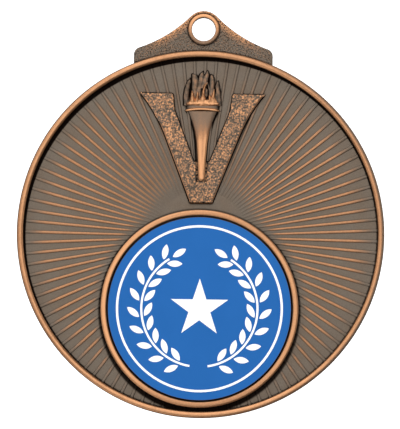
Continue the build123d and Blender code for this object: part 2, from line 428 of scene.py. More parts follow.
def plugged(tree, shader, wires):
    """Plug named wires into a shader's sockets."""
    for socket, wire in wires.items():
        tree.links.new(wire.socket, shader.inputs[socket])


def antiqued(name, masks, grain_mm=0.09, grain_depth=0.004):
    """A finish whose masks(start, place) gives how buffed and how sooty each point is, from 0 to 1; on some
    pieces the first also holds painted highlight and painted shade, the second painted shadow and painted
    shade.
    """
    finish = bpy.data.materials.new(name)
    finish.use_nodes = True
    tree = finish.node_tree
    shader = tree.nodes["Principled BSDF"]
    shader.inputs["Specular IOR Level"].default_value = 0.2
    start = Wire(tree)
    place = start.node("ShaderNodeTexCoord", output=3)
    buffed, soot = masks(start, place)

    cloud = place.noise(CLOUD_MM, detail=3.0)
    grain = place.noise(grain_mm, detail=3.0, roughness=0.6)
    speck = place.noise(SPECK_MM, detail=2.0)
    half_buffed = 4 * buffed * (1 - buffed)
    patchy = (buffed + (speck - 0.5) * 0.5 * half_buffed).limited()
    dark = (cloud.rise(0.25, 0.8) * 0.7).mixed(PATINA, BROWN_PATINA)
    toned = grain.rise(0.25, 0.75).mixed(DARK_GRAIN, LIGHT_GRAIN)
    times = {"data_type": "RGBA", "blend_type": "MULTIPLY"}
    dark = start.node("ShaderNodeMix", times, {0: 1.0, 6: dark, 7: toned}, output=2)
    bright = (patchy.rise(0.55, 1.0) * (0.55 + grain * 0.9)).limited().mixed(COPPER, BRIGHT_COPPER)
    colour = soot.mixed(patchy.mixed(dark, bright), SOOT_AND_SHADOW)
    metal = (PATINA_METALLIC + (1 - PATINA_METALLIC) * (patchy + soot)).limited()
    polish = (PATINA_ROUGHNESS - BUFFED_ROUGHNESS) * patchy
    rough = PATINA_ROUGHNESS - polish + (grain - 0.5) * 0.16 + soot * 0.2
    relief = {"Strength": 1.0, "Distance": grain_depth * MM, "Height": grain + cloud * 0.4}
    bump = start.node("ShaderNodeBump", values=relief)
    plugged(tree, shader, {"Base Color": colour, "Metallic": metal, "Roughness": rough, "Normal": bump})
    return finish


def corner_soot(start, reach_mm, low=0.35, high=0.75):
    """How much of its surroundings a point can't see: 1 deep in a corner."""
    seen = start.node("ShaderNodeAmbientOcclusion", {"samples": 8}, {"Distance": reach_mm * MM}, output=1)
    return (1 - seen).rise(low, high)


def front_of(start, place):
    """A point's X, its distance in front of the hole's middle and its Z, in millimetres."""
    split = start.node("ShaderNodeSeparateXYZ", values={"Vector": place}).socket.node
    x, y, z = [Wire(start.tree, socket) for socket in split.outputs]
    return x / MM, y / -MM, z / MM


def distance(x, z, centre_z):
    """How far a point is from a centre on the medal's middle line, in millimetres."""
    height = z - centre_z
    return (x * x + height * height) ** 0.5


print("finish recipe ready")

# %% [markdown]
# ## The disc
# The disc is a coin blank with a raised rim on both faces. It could be lathed as one profile, but a
# blank is easier to follow: a cylinder, a face inset by the rim's width and pushed in, and the rim's
# edges rounded over. The insert's seat is bored last with a boolean, as a mill would.
#
# The rim's crest is buffed, and its outer wall is darkened by painted shade, most on the right. The
# dark film stays in three angles: under the rim, where painted shadow widens it at the top and a
# little to the left; along the bezel's foot, where painted shadow widens it on its lower side; and on
# both sides of the torch. Each is a function of place alone, so that the disc, the rays and the V can
# share it and the film runs across their joints without a break.

# %% Mask of the disc
def under_rim_patina_and_shadow(x, z):
    """Dark patina in the angle under the rim, and painted shadow that widens and darkens it towards the top
    of the disc and a little to its left.
    """
    radius = distance(x, z, DISC_Z)
    upper = (((z - DISC_Z) * 0.9 - x * 0.42) / radius * 0.5 + 0.5).limited()
    band = 0.1 + 0.1 * upper + 0.4 * upper ** 4
    film = (radius + band).rise(RIM_INNER_RADIUS - 0.07, RIM_INNER_RADIUS + 0.03)
    return film * (upper * 1.4 + 0.3).limited()


def under_bezel_patina_and_shadow(x, z):
    """Dark patina along the bezel's foot, and painted shadow that widens and darkens it on the bezel's
    lower side.
    """
    gap = distance(x, z, INSERT_Z) - BEZEL_RADIUS
    low_side = ((INSERT_Z - z) / BEZEL_RADIUS * 0.5 + 0.5).limited()
    band = 0.08 + 0.58 * low_side * low_side
    return (gap - band).rise(0.2, -0.1) * (0.6 + 0.4 * low_side)


def beside_torch(x, z):
    """The dark film in the angle along both sides of the torch's handle and cup."""
    up = ((z - TORCH_FOOT) / (LIP_Z - TORCH_FOOT)).limited()
    handle_half_width = 0.48 + 0.42 * up + 1.1 * up ** 5
    gap = (x * x) ** 0.5 - handle_half_width
    return gap.rise(0.42, 0.22) * z.rise(TORCH_FOOT - 0.25, TORCH_FOOT - 0.1) * z.rise(LIP_Z + 0.1, LIP_Z)


def disc_masks(start, place):
    """Both rims are buffed on their crests; painted shade darkens the front rim's outer wall, most on the
    right.
    """
    x, front, z = front_of(start, place)
    radius = distance(x, z, DISC_Z)
    streak = place.noise(1.2, detail=2.0)
    crest = front.rise(FIELD_FRONT + 0.3, RIM_FRONT - 0.12)
    outside = radius.rise(MEDAL_RADIUS - 0.6, MEDAL_RADIUS - 0.1)
    back_crest = front.rise(BACK + 0.12, BACK) * 0.7
    # Painted shade on the rim's outer wall, strongest on the right.
    right_side = (x / MEDAL_RADIUS).rise(0.1, 0.85)
    shade = outside * (0.15 + right_side * 0.7)
    buffed = (crest * (1 - shade) * (0.72 + streak * 0.3) + back_crest).limited()
    # Patina in the angles, with painted shadow under the rim and along the bezel's lower side, and patina
    # beside the torch.
    under_rim = under_rim_patina_and_shadow(x, z) * front.rise(RIM_FRONT - 0.18, RIM_FRONT - 0.34) * (1 - outside)
    on_field = front.rise(0.0, 0.3) * front.rise(FIELD_FRONT + 0.3, FIELD_FRONT + 0.1)
    past_hub = distance(x, z, RAY_Z).rise(RAY_START + 2, RAY_START + 8.5)
    corners = corner_soot(start, 0.5, 0.3, 0.6) * past_hub
    patina_and_bezel_shadow = (under_bezel_patina_and_shadow(x, z) + beside_torch(x, z)) * on_field
    return buffed, (corners + under_rim + patina_and_bezel_shadow).limited()


print("film lies from the rim at radius", round(RIM_INNER_RADIUS, 2), "inwards")

# %% Model the disc
def is_round_edge(edge, radius, front):
    """Whether an edge runs round the disc at this radius and depth."""
    def is_there(vert):
        off_circle = abs(math.hypot(vert.co.x, vert.co.z - DISC_Z) - radius)
        return off_circle < SAME_PLACE and abs(vert.co.y + front) < SAME_PLACE

    return all(is_there(vert) for vert in edge.verts)


def make_disc():
    """A cylinder with a rim on each face and the insert's seat bored into its front."""
    disc = round_block("disc", MEDAL_RADIUS, BACK, RIM_FRONT, DISC_Z, sides=288)
    edit(disc, "FACE")
    for side, width, depth in ((-1, RIM_WIDTH, RIM_HEIGHT), (1, BACK_RIM_WIDTH, BACK_RIM_HEIGHT)):
        pick(disc, "faces", lambda f: f.normal.y * side > 0.9 and len(f.verts) > 4)
        bpy.ops.mesh.inset(thickness=width)
        bpy.ops.mesh.extrude_region_move(TRANSFORM_OT_translate={"value": (0, -side * depth, 0)})
    rims = (
        (MEDAL_RADIUS, RIM_FRONT, RIM_ROUNDING),
        (RIM_INNER_RADIUS, RIM_FRONT, RIM_ROUNDING),
        (MEDAL_RADIUS, BACK, BACK_ROUNDING),
        (MEDAL_RADIUS - BACK_RIM_WIDTH, BACK, BACK_ROUNDING / 2),
    )
    bpy.ops.mesh.select_mode(type="EDGE")
    for radius, front, rounding in rims:
        found = pick(disc, "edges", lambda e: is_round_edge(e, radius, front))
        bpy.ops.mesh.bevel(offset=rounding, segments=BEVEL_STEPS, affect="EDGES")
        print("rounded", found, "edges at radius", round(radius, 2))
    bpy.ops.object.mode_set(mode="OBJECT")
    return bored(disc, "seat_cutter", RECESS_RADIUS, RECESS_FRONT, RIM_FRONT + 1, INSERT_Z, sides=192)


finished(make_disc(), antiqued("field_and_rim", disc_masks, grain_mm=0.12))

# %% [markdown]
# ## The sunrays
# A hundred low ridges run out from a point just under the disc's middle. One ridge is modelled: a
# long block whose two front edges are rounded over, narrow and flat at its inner end. It is copied a
# hundred times, each copy is turned to its angle, and a round punch cuts the fan away where the
# insert sits. Its height falls away to nothing over the first few millimetres, so that the fan has no
# hard inner circle. Buffing catches the crests only, and stops short of the rim and of the bezel,
# where the wheel can't reach. The ridges that lie across the medal also get painted highlight on their
# crests and painted shade at their feet, as light from above would give them, and the upright ones
# hardly any.

# %% Mask of the sunrays
RAY_COUNT = 100
RAY_PHASE = -0.75
RAY_HEIGHT = 0.14
RAY_OUTER_WIDTH = 0.46
RAY_END = RIM_INNER_RADIUS + 0.4
# share of the ridge's length, share of its outer width, share of its height
RIDGE_STATIONS = ((0, 0.4, 0.04), (0.12, 0.54, 0.7), (0.24, 0.68, 0.95), (0.5, 0.85, 1))


def ray_masks(start, place):
    """The crests are buffed between the hub, the rim and the bezel, with painted highlight on level ridges;
    soot lies at the ridges' feet, with painted shade on level ridges and painted shadow under the rim and
    the bezel.
    """
    x, front, z = front_of(start, place)
    reach = distance(x, z, RAY_Z)
    wobble = place.noise(3.0) * 1.2
    crest = front.rise(FIELD_FRONT + RAY_HEIGHT * 0.15, FIELD_FRONT + RAY_HEIGHT * 0.9)
    short_of_rim = (reach + wobble).rise(24.4, 21.2)
    short_of_bezel = distance(x, z, INSERT_Z).rise(BEZEL_RADIUS + 0.35, BEZEL_RADIUS + 1.4)
    inner = reach.rise(RAY_START + 0.2, RAY_START + 1.9)
    # Level ridges get painted highlight on their crests and painted shade at their feet; upright ones get
    # little.
    painted_light_on_level_rays = ((x * x) ** 0.5 / reach).rise(0.12, 0.85) * 0.92 + 0.08
    buffed = crest * short_of_rim * short_of_bezel * inner * painted_light_on_level_rays
    past_hub = reach.rise(RAY_START + 2, RAY_START + 5)
    foot = front.rise(FIELD_FRONT + 0.07, FIELD_FRONT + 0.01) * (0.35 + 0.5 * painted_light_on_level_rays) * past_hub
    return buffed * 0.66, (foot + under_rim_patina_and_shadow(x, z) + under_bezel_patina_and_shadow(x, z)).limited()


print(RAY_COUNT, "ridges, one every", round(360 / RAY_COUNT, 2), "degrees")

# %% Model one ridge and copy it
def is_long_front_edge(edge):
    """Whether an edge runs along the ridge on its front."""
    first, second = [vert.co for vert in edge.verts]
    return max(first.y, second.y) < -FIELD_FRONT and abs(first.x - second.x) > 1


def make_ridge():
    """One ridge along +X from the rays' meeting point."""
    length = RAY_END - RAY_START
    bpy.ops.mesh.primitive_cube_add(size=1, location=(RAY_START + length / 2, -FIELD_FRONT, 0))
    ridge = bpy.context.object
    ridge.scale = (length, 2 * RAY_HEIGHT, RAY_OUTER_WIDTH)
    named("ridge")
    edit(ridge, "EDGE")
    pick(ridge, "edges", is_long_front_edge)
    bpy.ops.mesh.bevel(offset=RAY_HEIGHT * 0.98, segments=4, affect="EDGES")
    for share, _, _ in RIDGE_STATIONS[1:]:
        bpy.ops.mesh.select_all(action="SELECT")
        bpy.ops.mesh.bisect(plane_co=(RAY_START + share * length, 0, 0), plane_no=(1, 0, 0))
    bpy.ops.mesh.select_mode(type="VERT")
    for share, width, height in RIDGE_STATIONS:
        x = RAY_START + share * length
        pick(ridge, "verts", lambda v: abs(v.co.x - x) < SAME_PLACE)
        bpy.ops.transform.resize(value=(1, height, width), center_override=(x, -FIELD_FRONT, 0))
    return tidied(ridge, merge=0.0001)


def make_sunrays():
    """A full turn of ridges, joined and punched out where the insert sits."""
    ridge = make_ridge()
    rays = []
    for number in range(RAY_COUNT):
        ray = ridge.copy()
        ray.data = ridge.data.copy()
        bpy.context.collection.objects.link(ray)
        ray.rotation_euler = (0, -math.radians(RAY_PHASE + 360 * number / RAY_COUNT), 0)
        ray.location = (0, 0, RAY_Z)
        rays.append(ray)
    bpy.data.objects.remove(ridge)
    fan = joined("sunrays", rays)
    bpy.ops.object.transform_apply(location=True, rotation=True, scale=True)
    return bored(fan, "punch", RECESS_RADIUS + BEZEL_WIDTH / 2, BACK, RIM_FRONT, INSERT_Z, sides=96)


finished(make_sunrays(), antiqued("ridges", ray_masks), smooth_angle=60)

# %% [markdown]
# ## The bezel and the eyelet collar
# Both are plain turned rings, so both are spun from a small section whose corners are rounded. The
# bezel frames the insert and is the brightest metal on the medal, because it stands alone in the
# middle of the buffing wheel; painted highlight makes it a little brighter on the left, and painted
# shade a little darker at its top and bottom. The collar is the end of the tube that the ribbon's ring
# passes through, proud of the hanger on both faces; its ends are buffed, and painted highlight makes
# their upper half brighter.

# %% Masks of the two rings
HOLE_RADIUS = ribbon_hole["dims"]["r_mm"]
COLLAR_WIDTH = 0.52
COLLAR_HEIGHT = 0.4
HANGER_BEHIND_RIM = 0.6
COLLAR_RADIUS = HOLE_RADIUS + COLLAR_WIDTH
HANGER_FRONT = RIM_FRONT - HANGER_BEHIND_RIM
COLLAR_FRONT = HANGER_FRONT + COLLAR_HEIGHT


def bezel_masks(start, place):
    """The crest is buffed, with painted highlight on the left and painted shade at the top and at the
    bottom.
    """
    x, front, z = front_of(start, place)
    radius = distance(x, z, INSERT_Z)
    # Painted highlight on the left, and painted shade at the top and at the bottom, set how bright the
    # crest is.
    left_side = (x / BEZEL_RADIUS).rise(1.2, -1.0)
    height = (z - INSERT_Z) / BEZEL_RADIUS
    end_shade = 0.24 * height.rise(-0.5, -1.0) + 0.16 * height.rise(0.5, 1.0)
    crest = front.rise(BEZEL_FRONT - 0.24, BEZEL_FRONT - 0.05)
    buffed = crest * (0.86 + 0.14 * left_side) * (1 - end_shade)
    inner_edge = radius.rise(RECESS_RADIUS + 0.16, RECESS_RADIUS + 0.02)
    soot = (front.rise(BEZEL_FRONT - 0.14, BEZEL_FRONT - 0.34) + inner_edge * 0.8).limited()
    return buffed, soot


def collar_masks(start, place):
    """Both ends of the tube are buffed, with painted highlight on their upper half; soot lies where the
    collar meets the plate.
    """
    x, front, z = front_of(start, place)
    radius = distance(x, z, 0.0)
    crest = front.rise(HANGER_FRONT + 0.1, COLLAR_FRONT - 0.05)
    back_crest = front.rise(BACK + 0.15, BACK)
    # Painted highlight: the upper half is brighter than the lower.
    upper = z.rise(-1.7, 1.2) * 0.72 + 0.28
    buffed = ((crest + back_crest) * upper).limited()
    outer_wall = radius.rise(HOLE_RADIUS + 0.3, HOLE_RADIUS + 0.5)
    foot = front.rise(HANGER_FRONT + 0.2, HANGER_FRONT + 0.02) * outer_wall
    return buffed, (foot * 0.9 + corner_soot(start, 0.5) * 0.7).limited()


print("bezel radius", round(BEZEL_RADIUS, 2), "collar radius", round(COLLAR_RADIUS, 2))

# %% Turn the two rings
bezel_corners = (((RECESS_RADIUS, BEZEL_FRONT), 0.24), ((BEZEL_RADIUS, BEZEL_FRONT), 0.3))
bezel = turned_ring(
    "bezel_ring", RECESS_RADIUS, BEZEL_RADIUS, RECESS_FRONT - 0.1, BEZEL_FRONT, INSERT_Z, bezel_corners
)
finished(bezel, antiqued("buffed_bezel", bezel_masks), smooth_angle=60)
collar_corners = (
    ((HOLE_RADIUS, COLLAR_FRONT), 0.12),
    ((COLLAR_RADIUS, COLLAR_FRONT), 0.2),
    ((HOLE_RADIUS, BACK), 0.12),
    ((COLLAR_RADIUS, BACK), 0.2),
)
collar = turned_ring(
    "eyelet_collar", HOLE_RADIUS, COLLAR_RADIUS, BACK, COLLAR_FRONT, 0, collar_corners, steps=96
)
finished(collar, antiqued("eyelet", collar_masks), smooth_angle=60)

# %% [markdown]
# ## The hanger plate
# The hanger is a flat plate that rises from behind the rim: round over the hole, then two hollow
# slopes down to square shoulders. Its faces are sand textured. A bump map would do for the front,
# but the plate is seen on edge too, so the sheet is remeshed into small even faces and a noise
# pushes them in and out by a few hundredths of a millimetre. Copper shows along the two slopes and
# in loose flecks, and the finest pits of the sand keep their soot.

# %% Model the hanger
EYE_RADIUS = cad_high.z / MM
HANGER_HALF_WIDTH = 9.45
HANGER_FOOT_Z = DISC_Z + MEDAL_RADIUS * 0.86
HANGER_EDGE_ROUNDING = 0.12
HANGER_VOXEL = 0.09
SHOULDER_Z = -2.8
SHOULDER_ROUNDING = 0.7
SAND_MM = 0.17
SAND_DEPTH = 0.07
SLOPE_START = EYE_RADIUS * math.sqrt(0.5)
SLOPE_CHORD = (HANGER_HALF_WIDTH - SLOPE_START, SHOULDER_Z - SLOPE_START)
SLOPE_RADIUS = math.hypot(*SLOPE_CHORD) ** 2 / (math.sqrt(2) * (SLOPE_CHORD[0] + SLOPE_CHORD[1]))
SLOPE_CENTRE = SLOPE_START + SLOPE_RADIUS * math.sqrt(0.5)
print("slope radius", round(SLOPE_RADIUS, 2), "about", round(SLOPE_CENTRE, 2))


def surface_noise(name, scale, depth=1):
    """A cloud texture for pushing a surface in and out."""
    noise = bpy.data.textures.new(name, "CLOUDS")
    noise.noise_basis = "IMPROVED_PERLIN"
    noise.noise_scale = scale
    noise.noise_depth = depth
    return noise


def pushed(piece, test, texture, strength):
    """Push the corners that pass a test in and out by a texture."""
    edit(piece, "VERT")
    pick(piece, "verts", test)
    bpy.ops.object.vertex_group_assign_new()
    group = piece.vertex_groups[-1].name
    settings = {"texture": texture, "strength": strength, "mid_level": 0.5, "vertex_group": group}
    use(piece, "DISPLACE", settings)
    piece.vertex_groups.clear()
    return piece


def is_depth_edge(edge, x, z):
    """Whether an edge runs from back to front at this place, left or right of the middle."""
    return all(abs(abs(v.co.x) - x) < SAME_PLACE and abs(v.co.z - z) < SAME_PLACE for v in edge.verts)


def is_plate_rim(edge):
    """Whether an edge goes round the plate's front or its back."""
    first, second = [vert.co.y for vert in edge.verts]
    return first * second > 0 and abs(abs(first) - HANGER_FRONT) < SAME_PLACE


def make_hanger():
    """The plate's outline cut out, rounded, drilled, cleared of the disc and sanded."""
    shoulder = (HANGER_HALF_WIDTH, SHOULDER_Z)
    slope = tangent_arc((SLOPE_START, SLOPE_START), (1, -1), shoulder, 10)
    turns = [math.radians(angle) for angle in range(45, 0, -9)]
    eye = [(EYE_RADIUS * math.sin(turn), EYE_RADIUS * math.cos(turn)) for turn in turns]
    right = [(HANGER_HALF_WIDTH, HANGER_FOOT_Z), *reversed(slope), *eye]
    outline = right + [(0, EYE_RADIUS)] + [(-x, z) for x, z in reversed(right)]
    plate = cut_sheet("hanger_plate", outline, -HANGER_FRONT, HANGER_FRONT)
    edit(plate, "EDGE")
    pick(plate, "edges", lambda e: is_depth_edge(e, *shoulder))
    bpy.ops.mesh.bevel(offset=SHOULDER_ROUNDING, segments=BEVEL_STEPS, affect="EDGES")
    pick(plate, "edges", is_plate_rim)
    bpy.ops.mesh.bevel(offset=HANGER_EDGE_ROUNDING, segments=3, affect="EDGES")
    bpy.ops.object.mode_set(mode="OBJECT")
    behind = BACK - 1
    ahead = RIM_FRONT + 1
    bored(plate, "drill", HOLE_RADIUS + 0.25, behind, ahead, 0, sides=96)
    bored(plate, "disc_cutter", RIM_INNER_RADIUS + 0.3, behind, ahead, DISC_Z, sides=192)
    use(plate, "REMESH", {"mode": "VOXEL", "voxel_size": HANGER_VOXEL})
    sand = surface_noise("sand", 0.16, depth=2)
    return pushed(plate, lambda v: abs(v.normal.y) > 0.95, sand, SAND_DEPTH)


def hanger_masks(start, place):
    """Copper shows near the slopes, over the eye and in flecks; soot lies in the pits and by the rims."""
    x, front, z = front_of(start, place)
    side = (x * x) ** 0.5
    across = side - SLOPE_CENTRE
    up = z - SLOPE_CENTRE
    from_slope = (across * across + up * up) ** 0.5 - SLOPE_RADIUS
    near_edge = from_slope.rise(1.3, 0.15) * side.rise(8.8, 4.6)
    above = z.rise(1.9, 2.4) * 0.6
    sand = place.noise(SAND_MM, detail=2.0, roughness=0.65)
    edge = from_slope.rise(0.3, 0.05) * side.rise(7.0, 2.5)
    worn = (near_edge * sand.rise(0.42, 0.56) + above * sand.rise(0.4, 0.6) + edge * 0.45).limited()
    rim_gap = distance(x, z, DISC_Z).rise(MEDAL_RADIUS + 0.2, MEDAL_RADIUS)
    eye_gap = distance(x, z, 0.0).rise(COLLAR_RADIUS + 0.3, COLLAR_RADIUS)
    on_face = (front * front).rise(0.5, 0.9)
    pits = place.noise(SAND_MM, detail=2.0, roughness=0.7)
    flecks = place.noise(0.16, detail=1.0).rise(0.56, 0.66) * 0.35
    speckle = pits.rise(0.52, 0.36) * 0.85 * (1 - worn * 0.6)
    soot = ((rim_gap * 0.6 + eye_gap * 0.8) * on_face + speckle).limited()
    return (worn * 0.88 + flecks).limited(), soot


sanded = antiqued("sanded_hanger", hanger_masks, grain_mm=0.14, grain_depth=0.012)
finished(make_hanger(), sanded, smooth_angle=60)

# %% [markdown]
# ## The V
# The raised V has a pebbled top and drafted sides, which slope so that the casting leaves its die,
# and they stay black. Its outline is cut from a sheet, with one arc on each side where the arms
# flare, and the outer corners are rounded. The top face is inset twice: the first step is the draft,
# the second a narrow chamfer that the wheel polishes. Then the V is remeshed finely and a noise
# raises small pebbles on the top face only.
#
# At a quarter of a millimetre a pebble is too small for the mesh to carry its colour, so the finish
# draws its own: round cells with some noise, copper on the tops and soot in the pits. A broader noise
# makes some stretches brighter than others, and painted shade darkens the V's lower tip.

# %% Model the V
V_DRAFT = 0.2
V_DRAFT_DEPTH = 0.3
V_CHAMFER = 0.14
V_CHAMFER_DEPTH = 0.09
V_CORNER_ROUNDING = 0.28
V_PEBBLE_DEPTH = 0.08
V_VOXEL = 0.07


def up_the_v(share):
    """The height of a share of the way from the V's foot to its top."""
    return V_FOOT + (V_TOP - V_FOOT) * share


def is_on_v_top(point):
    """Whether a point lies on the V's top face."""
    return point.y < -V_FRONT + SAME_PLACE


def make_v():
    """The V's outline cut out, with rounded corners, a drafted wall, a chamfer and pebbles on top."""
    foot = (1.6, up_the_v(0))
    flare = (5.2, up_the_v(0.61))
    tip = (8.68, up_the_v(1))
    rise = (flare[0] - foot[0], flare[1] - foot[1])
    outside = [foot, flare, *tangent_arc(flare, rise, tip, 6)]
    inside = [(3.95, up_the_v(1)), (3.71, up_the_v(0.85)), (1.0, up_the_v(0.39))]
    letter = cut_sheet("chevron", both_sides(outside + inside), FIELD_FRONT - SUNK, V_FRONT)
    edit(letter, "EDGE")
    rounded = (foot, tip, inside[0])
    pick(letter, "edges", lambda e: any(is_depth_edge(e, x, z) for x, z in rounded))
    bpy.ops.mesh.bevel(offset=V_CORNER_ROUNDING, segments=4, affect="EDGES")
    bpy.ops.mesh.select_mode(type="FACE")
    pick(letter, "faces", lambda f: f.normal.y < -0.9)
    for width, step_back in ((V_DRAFT, V_DRAFT_DEPTH), (V_CHAMFER, V_CHAMFER_DEPTH)):
        bpy.ops.mesh.inset(thickness=width)
        top = [v.index for v in bmesh.from_edit_mesh(letter.data).verts if v.select]
        pick(letter, "verts", lambda v: is_on_v_top(v.co) and v.index not in top)
        bpy.ops.transform.translate(value=(0, step_back, 0))
        pick(letter, "faces", lambda f: f.normal.y < -0.9 and is_on_v_top(f.calc_center_median()))
    bpy.ops.object.mode_set(mode="OBJECT")
    use(letter, "REMESH", {"mode": "VOXEL", "voxel_size": V_VOXEL})
    pebbles = surface_noise("pebbles", 0.17, depth=1)
    return pushed(letter, lambda v: is_on_v_top(v.co), pebbles, V_PEBBLE_DEPTH)


def v_masks(start, place):
    """The pebbles' tops and the chamfer are buffed; soot lies in the pits and on the wall, and painted
    shade darkens the foot.
    """
    x, front, z = front_of(start, place)
    mottle = place.noise(1.8, detail=2.0)
    cells = place.node("ShaderNodeTexVoronoi", values={"Vector": place, "Scale": 1 / (0.26 * MM)})
    pebble = place.noise(0.27, detail=2.0, roughness=0.6) + (0.44 - cells) * 0.34 + (mottle - 0.52) * 0.3
    on_top = front.rise(V_FRONT - 0.05, V_FRONT - 0.03)
    chamfer = front.rise(V_FRONT - 0.10, V_FRONT - 0.08) * (1 - on_top)
    buffed = pebble.rise(0.34, 0.72) * on_top + chamfer * 0.85
    pits = pebble.rise(0.46, 0.34) * on_top * 0.36
    # Painted shade on the V's lower tip.
    at_foot = z.rise(V_FOOT + 0.42, V_FOOT + 0.22) * 0.8
    wall = front.rise(V_FRONT - 0.10, V_FRONT - 0.15)
    return buffed, (wall + pits + at_foot + beside_torch(x, z) * 0.55).limited()


finished(make_v(), antiqued("pebbled_v", v_masks), smooth_angle=60)

# %% [markdown]
# ## The torch
# The torch is in half relief: seen from the front it is a turned handle that flares into a cup, but
# its depth is pressed flat, as on every struck medal. Each part starts as a disc with a couple of
# dozen corners at one end of the shape. That disc is extruded a step, resized to the next width and
# depth, and extruded again, like drawing out a length of clay. The torch lies on a bed a little above
# the field, so that its handle stands clear of the V, and its crest is pressed nearly level.

# %% Draw out a shape ring by ring
RELIEF_BED = FIELD_FRONT - 0.05


def drawn(name, rings, along="Z", sides=24, bed=RELIEF_BED):
    """A closed shape through rings of (place along, place across, half width, crest above the bed)."""
    along_x = along == "X"
    turn = (0, math.radians(90), 0) if along_x else (0, 0, 0)

    def centre(ring):
        return (ring[0], -bed, ring[1]) if along_x else (ring[1], -bed, ring[0])

    def stretch(wide, deep):
        return (1, deep, wide) if along_x else (wide, deep, 1)

    first = rings[0]
    bpy.ops.mesh.primitive_circle_add(
        vertices=sides, radius=1, fill_type="NGON", location=centre(first), rotation=turn
    )
    piece = named(name)
    edit(piece, "VERT")
    bpy.ops.mesh.select_all(action="SELECT")
    bpy.ops.transform.resize(value=stretch(first[2], first[3]), center_override=centre(first))
    for last, ring in zip(rings, rings[1:]):
        step = [b - a for a, b in zip(centre(last), centre(ring))]
        bpy.ops.mesh.extrude_region_move(TRANSFORM_OT_translate={"value": step})
        grow = stretch(ring[2] / last[2], ring[3] / last[3])
        bpy.ops.transform.resize(value=grow, center_override=centre(ring))
    return tidied(piece)


print("relief lies on a bed at", round(RELIEF_BED, 2))

# %% Model the handle, the cup and the lip
TORCH_FRONT = FIELD_FRONT + 0.72
TORCH_BED = FIELD_FRONT + 0.3
TORCH_CREST = TORCH_FRONT - TORCH_BED
PRESSED_FRONT = TORCH_FRONT - 0.08
PRESSED_SHARE = 0.35
LIP_THICKNESS = 0.45
LIP_HALF_LENGTH = 2.45
LIP_BOW = 0.24
LIP_DROP = 0.16
FLAME_FOOT = LIP_Z + LIP_THICKNESS + 0.32


def make_handle():
    """A rounded foot, a taper, and a cup that flares to the lip."""
    height = LIP_Z - TORCH_FOOT
    profile = (
        (0.0, 0.30, 0.62),
        (0.012, 0.42, 0.84),
        (0.035, 0.48, 0.92),
        (0.30, 0.60, 0.97),
        (0.56, 0.80, 0.99),
        (0.72, 1.05, 1.0),
        (0.84, 1.38, 0.98),
        (0.94, 1.74, 0.94),
        (1.0, 2.0, 0.88),
    )
    unpressed = TORCH_CREST + 0.14
    rings = [(TORCH_FOOT + height * share, 0, wide, deep * unpressed) for share, wide, deep in profile]
    torch = drawn("torch_handle", rings, sides=32, bed=TORCH_BED)
    edit(torch, "VERT")
    pick(torch, "verts", lambda v: v.co.y < -PRESSED_FRONT)
    bpy.ops.transform.resize(value=(1, PRESSED_SHARE, 1), center_override=(0, -PRESSED_FRONT, 0))
    bpy.ops.object.mode_set(mode="OBJECT")
    return torch


def make_lip():
    """A half-round bead across the cup, bowed up a little in the middle."""
    rings = []
    for number in range(-8, 9):
        share = number / 8
        end = math.sqrt(max(1 - abs(share) ** 8, 0.02))
        bow = 1 - share * share
        z = LIP_Z + LIP_THICKNESS / 2 + LIP_BOW * bow - LIP_DROP
        crest = TORCH_CREST * (0.9 + 0.1 * bow)
        rings.append((LIP_HALF_LENGTH * share, z, LIP_THICKNESS / 2 * end, crest * end))
    bead = drawn("torch_lip", rings, along="X", sides=16, bed=TORCH_BED)
    low = LIP_Z + LIP_THICKNESS * 0.6
    neck = [
        (low, 0, 2.1, TORCH_CREST * 0.5),
        (low + 0.2, 0, 2.2, TORCH_CREST * 0.6),
        (FLAME_FOOT + 0.1, 0, 2.25, TORCH_CREST * 0.55),
    ]
    return joined("torch_lip", [bead, drawn("neck", neck, sides=32, bed=TORCH_BED)])


def torch_masks(start, place):
    """The lip and the lower handle are buffed, with streaks along the handle, and painted shade darkens the
    cup under the lip; the flanks are sooty.
    """
    _, front, z = front_of(start, place)
    # The copper fades up the cup towards the lip: buffing on the handle, and painted shade under the lip.
    low_down = z.rise(LIP_Z - 0.6, LIP_Z - 5.0)
    crest = front.rise(TORCH_BED + 0.05, TORCH_BED + 0.28)
    streak = place.noise(0.5, detail=2.0, stretch=(1, 1, 0.08))
    on_lip = z.rise(LIP_Z - 0.02, LIP_Z + 0.06) * z.rise(LIP_Z + 0.52, LIP_Z + 0.42)
    buffed = ((low_down * 0.86 + 0.18) * crest * (0.2 + streak * 1.5) + on_lip * crest).limited()
    flank = front.rise(TORCH_BED + 0.2, TORCH_BED + 0.02) * (1 - on_lip * 0.5)
    return buffed, (flank + corner_soot(start, 0.25) * 0.4).limited()


torch_finish = antiqued("torch_metal", torch_masks)
finished(make_handle(), torch_finish, smooth_angle=60)
finished(make_lip(), torch_finish, smooth_angle=60)

# %% [markdown]
# ## The flame
# The flame is a bunch of tongues in two layers. The back layer is tall and stays dark; the front
# layer is short, stands proud and is buffed bright. Each tongue is drawn out along its own bent
# line and closed to a point. A thin bed joins them behind, a low body fills the root of the flame and
# a bead finishes its foot. All are fused by one remesh and softened, as wax is before it is cast. The
# finish reads how far a tongue stands forward, so the gaps between the tongues are black, the back
# layer grey and the front layer copper, with a little smoke over all.

# %% Model the flame
FLAME_CREST = FIELD_FRONT + 0.7 - RELIEF_BED
BACK_CREST = 0.46
BED_CREST = 0.26
BACK_FULLER = 1.38
FRONT_FULLER = 1.9
FLAME_FOOT_HALF_LENGTH = 2.46
FLAME_VOXEL = 0.05


def tongue(name, line, crest, fuller):
    """A tongue drawn along its line, fuller than the line says where tongues have to meet."""
    rings = []
    for across, up, wide in line:
        taper = 1.0 if wide > 0.1 else 0.6
        rings.append((FLAME_FOOT + up, across, wide * fuller, crest * taper))
    return drawn(name, rings, sides=16)


